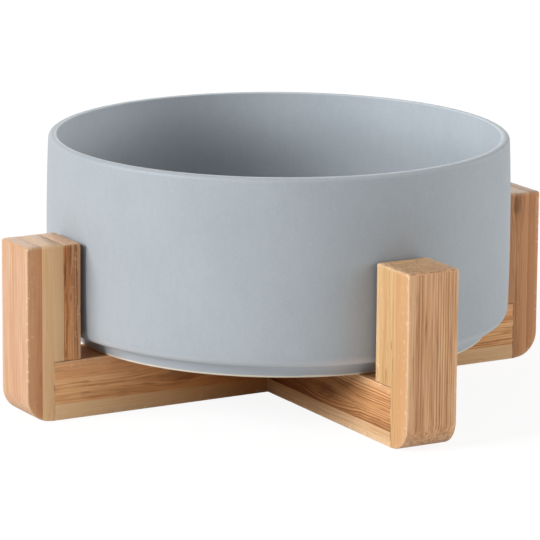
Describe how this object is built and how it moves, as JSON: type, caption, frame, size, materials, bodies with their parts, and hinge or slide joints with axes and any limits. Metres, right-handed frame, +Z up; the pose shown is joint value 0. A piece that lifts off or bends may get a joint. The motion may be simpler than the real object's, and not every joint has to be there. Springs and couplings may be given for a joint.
{
  "type": "pet bowl with stand",
  "caption": "Round matte stoneware pet bowl with a foot ring, standing loose on a bamboo cross stand that slots together from two flat frames.",
  "frame": {"origin": "on the floor under the middle of the stand, where the two rails cross", "axes": "+Z up along the bowl's axis, +X along the lower rail towards post_right, +Y along the upper rail towards post_back"},
  "size_m": [0.1966, 0.1966, 0.0858],
  "materials": {
    "grey_glaze": "matte",
    "bamboo": "sanded and oiled",
    "dowel_wood": "bare"
  },
  "bodies": {
    "lower_frame": {"lower_rail": "bamboo", "post_left": "bamboo", "post_right": "bamboo", "dowel_left": "dowel_wood", "dowel_right": "dowel_wood"},
    "upper_frame": {"upper_rail": "bamboo", "post_front": "bamboo", "post_back": "bamboo", "dowel_front": "dowel_wood", "dowel_back": "dowel_wood"},
    "bowl": {"bowl": "grey_glaze"}
  },
  "joints": [
    {"name": "frame_lift", "type": "slide", "parent": "lower_frame", "child": "upper_frame", "axis": [0, 0, 1], "range_m": [0, 0.07]},
    {"name": "bowl_lift", "type": "slide", "parent": "upper_frame", "child": "bowl", "axis": [0, 0, 1], "range_m": [0, 0.08]}
  ]
}
